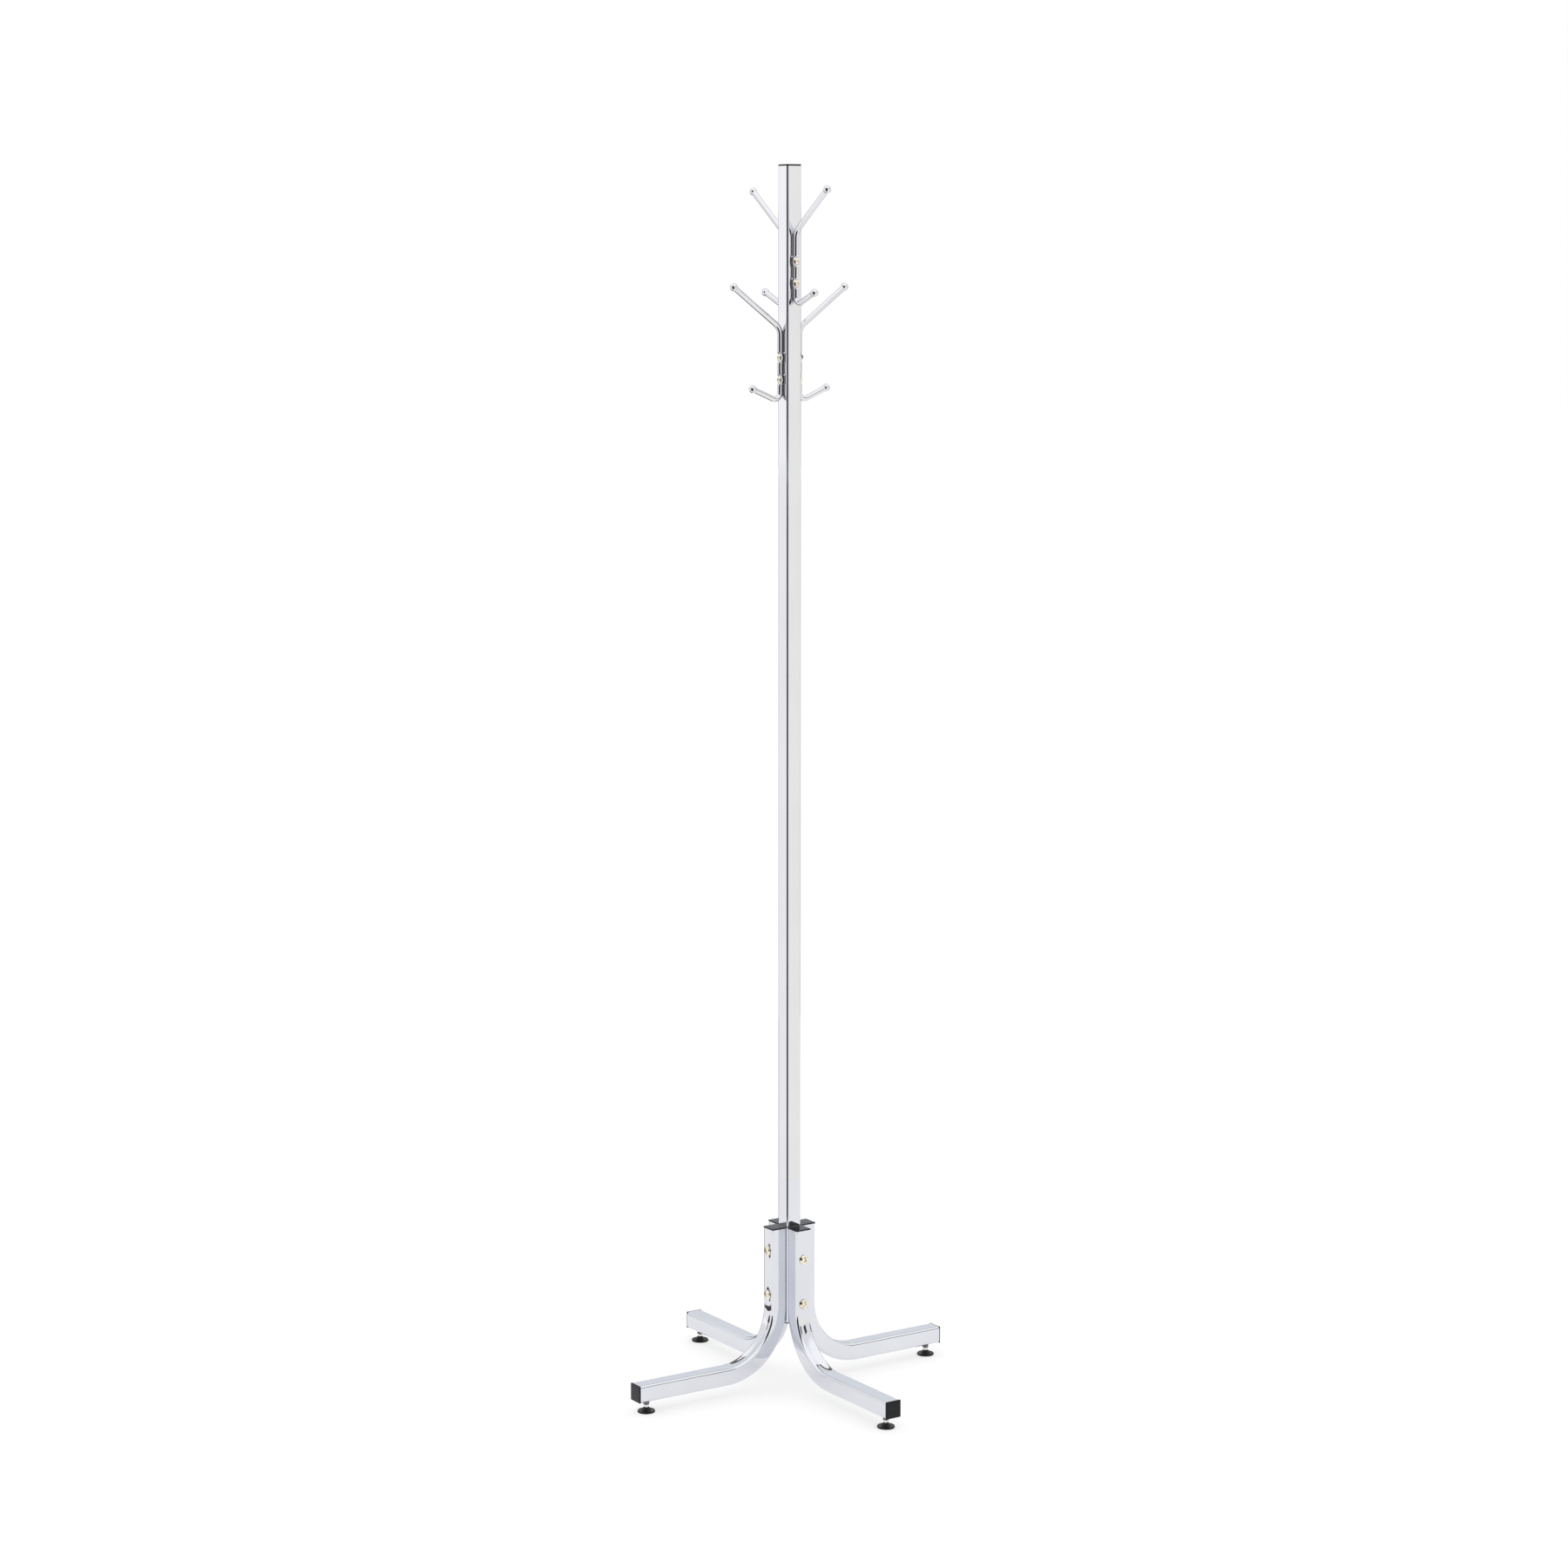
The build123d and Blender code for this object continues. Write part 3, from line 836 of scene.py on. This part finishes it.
def build_fasteners():
    screw = screw_mesh(SCREW_R, SCREW_HEAD_R, SCREW_HEAD_HEIGHT, 2 * EYE_FACE + SCREW_NUT_HEIGHT)
    nut = nut_mesh(SCREW_NUT_FLATS, SCREW_NUT_HEIGHT, SCREW_R)
    for level, side in (("high", "back"), ("low", "right")):
        heights = [HOOK_MIDDLES[side] + sign * SCREW_SPACING / 2 for sign in (-1, 1)]
        nodes = (f"hook_screws_{level}", f"hook_nuts_{level}")
        build_through_bolts(f"hook_{level}", nodes, side, heights, EYE_FACE, screw, nut)
    bolt = screw_mesh(BOLT_R, BOLT_HEAD_R, BOLT_HEAD_HEIGHT, 2 * LEG_FACE + BOLT_REACH)
    cap_nut = cap_nut_mesh(BOLT_HEAD_R, BOLT_HEAD_HEIGHT, BOLT_R)
    for group, side in (("left_right", "right"), ("front_back", "back")):
        nodes = (f"leg_bolts_{group}", f"leg_nuts_{group}")
        build_through_bolts(f"leg_{group}", nodes, side, bolt_heights(nodes[0]), LEG_FACE, bolt, cap_nut)


# ---------------------------------------------------------------- levelling glides


def thread_radius(angle, height):
    """The radius of a vee thread at an angle and height."""
    turn = (height / THREAD_PITCH - angle / (2 * math.pi)) % 1
    return STUD_R - THREAD_DEPTH * (1 - abs(2 * turn - 1)) ** THREAD_SHARPNESS


def stud_mesh(name, low, high, matrix):
    """The stud: a plain foot with two wrench flats, then a threaded shank with a chamfered end."""
    steps = 32
    heights = sorted({
        low, *STUD_FLATS_HEIGHTS, *(h + STUD_FLATS_STEP for h in STUD_FLATS_HEIGHTS), COLLAR_BOTTOM,
        *np.arange(COLLAR_BOTTOM, high - STUD_END_CHAMFER, THREAD_PITCH / 8), high - STUD_END_CHAMFER, high,
    })
    rings = []
    for height in heights:
        ring = []
        on_flats = STUD_FLATS_HEIGHTS[0] < height <= STUD_FLATS_HEIGHTS[1]
        for i in range(steps):
            a = 2 * math.pi * i / steps
            radius = STUD_R if height <= COLLAR_BOTTOM else thread_radius(a, height)
            if height > high - STUD_END_CHAMFER:
                radius = STUD_R - STUD_END_CHAMFER
            x, y = radius * math.cos(a), radius * math.sin(a)
            if on_flats:
                x = max(min(x, STUD_FLATS / 2), -STUD_FLATS / 2)
            ring.append((x, y, height))
        rings.append(ring)
    mesh = grid_mesh(name, rings)
    mesh.transform(matrix)
    soft_edges(mesh, 25)
    return mesh


def insert_mesh(name, top, matrix):
    """The collared insert under the leg, with its barrel inside the leg."""
    edge = 0.4 * MM
    leg_floor = LEG_LOW.z + TUBE_WALL
    bore = STUD_R + STUD_CLEARANCE
    upset_top = leg_floor + INSERT_UPSET_HEIGHT
    profile = [
        (bore, COLLAR_BOTTOM + edge), (bore + edge, COLLAR_BOTTOM), (COLLAR_R - edge, COLLAR_BOTTOM),
        (COLLAR_R, COLLAR_BOTTOM + edge), (COLLAR_R, LEG_LOW.z), (INSERT_BARREL_R, LEG_LOW.z),
        (INSERT_BARREL_R, leg_floor), (INSERT_UPSET_R, leg_floor), (INSERT_UPSET_R, upset_top),
        (INSERT_BARREL_R, upset_top), (INSERT_BARREL_R, top), (bore, top),
    ]
    rings = lathe_rings(profile, 48)
    mesh = grid_mesh(name, [*rings, rings[0]], closed_ends=False)
    mesh.transform(matrix)
    soft_edges(mesh, 30)
    return mesh


def pad_mesh(name, radius, height, matrix):
    """The pad: a rounded rim with a fine groove, and a conical hub with a rolled lip."""
    groove = 0.35 * MM
    fillet = 0.9 * MM
    lip = 0.45 * MM
    # The hollow sole and the rim's side with its groove
    profile = [(radius * 0.80, 0.25 * MM), (radius * 0.84, 0), (radius - 0.3 * MM, 0), (radius, 0.3 * MM)]
    profile += [(radius, 1.0 * MM), (radius - groove, 1.15 * MM), (radius, 1.3 * MM)]
    profile += arc_points((radius - PAD_EDGE, PAD_RIM_HEIGHT - PAD_EDGE), PAD_EDGE, 0, 90, 8)
    # The rim's flat top, a shallow step down, and the fillet round the hub
    profile += [(radius - 2.2 * MM, PAD_RIM_HEIGHT), (radius - 2.6 * MM, PAD_RIM_HEIGHT - 0.2 * MM)]
    profile += [(PAD_HUB_BASE_R + fillet, PAD_RIM_HEIGHT - 0.05 * MM)]
    for share in (0.25, 0.5, 0.75):
        rise = fillet * share * share * 0.7
        profile.append((PAD_HUB_BASE_R + fillet * (1 - share) ** 2, PAD_RIM_HEIGHT + rise))
    # The hub's cone, its rolled lip, and the socket that the stud sits in
    profile += [(PAD_HUB_TOP_R + 0.35 * MM, height - lip - 0.4 * MM)]
    profile += arc_points((PAD_HUB_TOP_R - lip, height - lip), lip, 0, 90, 6)
    profile += [(2.3 * MM, height), (2.25 * MM, height - 0.3 * MM), (0.1 * MM, height - 0.3 * MM)]
    rings = lathe_rings(profile, 72)
    mesh = grid_mesh(name, rings)
    mesh.transform(matrix)
    soft_edges(mesh, 35)
    return mesh


def build_glide(side):
    insert_low, insert_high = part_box("glide_insert_right")
    place = side_turn(side) @ Matrix.Translation(((insert_low.x + insert_high.x) / 2, 0, 0))
    insert = insert_mesh(f"glide_{side}_collar", insert_high.z, place)
    # The collar's dark grey is painted shade from under the leg, not the zinc's own colour
    piece(f"glide_{side}_collar", insert, ZINC_WITH_PAINTED_SHADE, "zinc_steel", "rack", f"glide_insert_{side}")
    pad_low, pad_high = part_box("glide_pad_right")
    pad = pad_mesh(f"glide_{side}_foot", (pad_high.x - pad_low.x) / 2, pad_high.z, place)
    piece(f"glide_{side}_foot", pad, PAD_BLACK, "glide_plastic", f"pad_{side}", f"glide_pad_{side}")
    stud_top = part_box("glide_stud_right")[1].z
    stud = stud_mesh(f"glide_{side}_stud", pad_high.z - STUD_IN_PAD, stud_top, place)
    piece(f"glide_{side}_stud", stud, ZINC, "zinc_steel", f"stud_{side}", f"glide_stud_{side}")


build_post()
build_caps()
for side_name in SIDES:
    build_leg(side_name)
    build_hook(side_name)
    build_glide(side_name)
build_fasteners()


# ---------------------------------------------------------------- camera, light and floor

# The camera looks at the post from an azimuth counted from the front (-Y) towards +X. Angles are in degrees
CAMERA_AZIMUTH = -33.64
CAMERA_DISTANCE = 5.097
CAMERA_HEIGHT = 1.637
CAMERA_PITCH = 8.28
CAMERA_YAW = -0.09
CAMERA_LENS = 81.84
SENSOR_WIDTH = 36

STUDIO_R = 24.0
FLOOR_R = 1.2 * STUDIO_R
FLOOR_SHADE = 0.52
FLOOR_GLOW = 0.48
LIGHT_ROUND, LIGHT_OVERHEAD = 0.97, 1.22
OVERHEAD_FROM, OVERHEAD_TO = 0.55, 0.75
DOME_STEPS = 96


def build_camera():
    azimuth = math.radians(CAMERA_AZIMUTH)
    outward = Vector((math.sin(azimuth), -math.cos(azimuth), 0))
    data = bpy.data.cameras.new("camera")
    data.sensor_width = SENSOR_WIDTH
    data.lens = CAMERA_LENS
    data.clip_start, data.clip_end = 0.05, 200
    camera = bpy.data.objects.new("camera", data)
    bpy.context.scene.collection.objects.link(camera)
    camera.location = outward * CAMERA_DISTANCE + Vector((0, 0, CAMERA_HEIGHT))
    turn = azimuth - math.radians(CAMERA_YAW)
    camera.rotation_euler = (math.radians(90 - CAMERA_PITCH), 0, turn)
    bpy.context.scene.camera = camera


def studio_direction(turn, elevation):
    """A unit vector: turn is in degrees from straight behind the camera towards its right."""
    azimuth = math.radians(CAMERA_AZIMUTH + turn)
    level = math.cos(math.radians(elevation))
    return Vector((math.sin(azimuth) * level, -math.cos(azimuth) * level, math.sin(math.radians(elevation))))


def glowing(name, colour):
    """A material that only gives off an even light."""
    material = bpy.data.materials.new(name)
    material.use_nodes = True
    tree = material.node_tree
    tree.nodes.clear()
    glow = add(tree, "ShaderNodeEmission", Color=(*colour, 1))
    output = tree.nodes.new("ShaderNodeOutputMaterial")
    tree.links.new(glow.outputs["Emission"], output.inputs["Surface"])
    return material


def stage_object(name, mesh, material):
    """A part of the studio, which is no part of the object."""
    made = bpy.data.objects.new(name, mesh)
    bpy.context.scene.collection.objects.link(made)
    mesh.materials.append(material)
    return made


def reflected_card(name, rows, colour):
    """A card through rows of points, which only reflections see."""
    count = len(rows[0])
    points = [tuple(p) for row in rows for p in row]
    faces = [
        (k * count + i, k * count + i + 1, (k + 1) * count + i + 1, (k + 1) * count + i)
        for k in range(len(rows) - 1)
        for i in range(count - 1)
    ]
    mesh = bpy.data.meshes.new(name)
    mesh.from_pydata(points, [], faces)
    card = stage_object(name, mesh, glowing(name, colour))
    card.visible_camera = card.visible_diffuse = card.visible_shadow = False
    card.visible_transmission = card.visible_volume_scatter = False


def far_card(name, turns, elevations, colour):
    """A card far off, between two turns and two elevations in degrees."""
    rows = [
        [studio_direction(turn, elevation) * STUDIO_R for turn in np.linspace(*turns, 25)]
        for elevation in np.linspace(*elevations, 9)
    ]
    reflected_card(name, rows, colour)


def floor_card(name, turns, reach, colour):
    """A card lying on the floor, between two turns in degrees and two distances from the post."""
    lift = Vector((0, 0, 1 * MM))
    rows = [
        [studio_direction(turn, 0) * distance + lift for turn in np.linspace(*turns, 25)]
        for distance in reach
    ]
    reflected_card(name, rows, colour)


def build_cards():
    """What the plating reflects of the room.

    The room is dark behind the camera and has a dark patch to its right. Behind the rack are a pale wall, with
    a dark strip above it, and a grey floor, which is dark near the rack and just left of it. Both sides are
    bright low down. The numbers are turns and elevations in degrees, or distances in metres."""
    black = (0.06, 0.055, 0.06)
    grey = (0.42, 0.42, 0.46)
    warm_white = (1.08, 1.055, 1.0)
    far_card("dark_room_behind_camera", (-55, 20), (-3, 34), black)
    floor_card("dark_floor_behind_camera", (-55, 20), (0.92, 23), black)
    far_card("dark_room_right", (60, 80), (11, 26), black)
    far_card("back_wall", (112, 236), (9, 34), (0.83, 0.85, 0.885))
    far_card("dark_edge_of_back_wall", (152, 216), (38, 50), (0.17, 0.15, 0.13))
    far_card("grey_room_behind", (124, 236), (-3, 5), grey)
    floor_card("grey_floor_behind", (124, 236), (2.6, 23), grey)
    floor_card("dark_floor_behind", (188, 243), (0.46, 2.6), black)
    floor_card("dark_floor_left", (239, 262), (0.25, 0.44), black)
    floor_card("warm_floor_right", (48, 88), (1.2, 23), warm_white)
    far_card("warm_room_right", (48, 88), (-3, 8), warm_white)
    floor_card("bright_floor_left", (244, 268), (1.2, 23), (1.09, 1.07, 1.07))
    far_card("bright_room_left", (244, 268), (-3, 8), (1.21, 1.19, 1.17))


def build_world():
    """Even white light from all round, brighter overhead."""
    world = bpy.data.worlds.new("studio")
    bpy.context.scene.world = world
    world.use_nodes = True
    tree = world.node_tree
    direction = tree.nodes.new("ShaderNodeTexCoord").outputs["Generated"]
    height = add(tree, "ShaderNodeSeparateXYZ", Vector=direction).outputs["Z"]
    brightness = scaled(tree, height, LIGHT_ROUND, LIGHT_OVERHEAD, OVERHEAD_FROM, OVERHEAD_TO)
    tree.links.new(brightness, tree.nodes["Background"].inputs["Strength"])
    tree.nodes["Background"].inputs["Color"].default_value = (1, 1, 1, 1)


def build_backdrop():
    """A white floor, and a white dome that only the camera sees."""
    angles = [2 * math.pi * i / DOME_STEPS for i in range(DOME_STEPS)]
    rim = [(FLOOR_R * math.cos(a), FLOOR_R * math.sin(a), 0) for a in angles]
    mesh = bpy.data.meshes.new("floor")
    mesh.from_pydata(rim, [], [tuple(range(DOME_STEPS))])
    material = bpy.data.materials.new("floor")
    _, shader = nodes_of(material)
    shader.inputs["Base Color"].default_value = (FLOOR_SHADE, FLOOR_SHADE, FLOOR_SHADE, 1)
    shader.inputs["Roughness"].default_value = 1.0
    shader.inputs["Emission Color"].default_value = (1, 1, 1, 1)
    shader.inputs["Emission Strength"].default_value = FLOOR_GLOW
    shader.inputs["Specular IOR Level"].default_value = 0.0
    stage_object("floor", mesh, material)
    profile = arc_points((0, 0), FLOOR_R, -4, 89.9, 24)
    dome = grid_mesh("dome", lathe_rings(profile, DOME_STEPS), closed_ends=False)
    backdrop = stage_object("backdrop", dome, glowing("backdrop", (1, 1, 1)))
    backdrop.visible_diffuse = backdrop.visible_glossy = backdrop.visible_shadow = False
    backdrop.visible_transmission = False


build_camera()
build_cards()
build_world()
build_backdrop()
bpy.context.scene.view_settings.view_transform = "Standard"
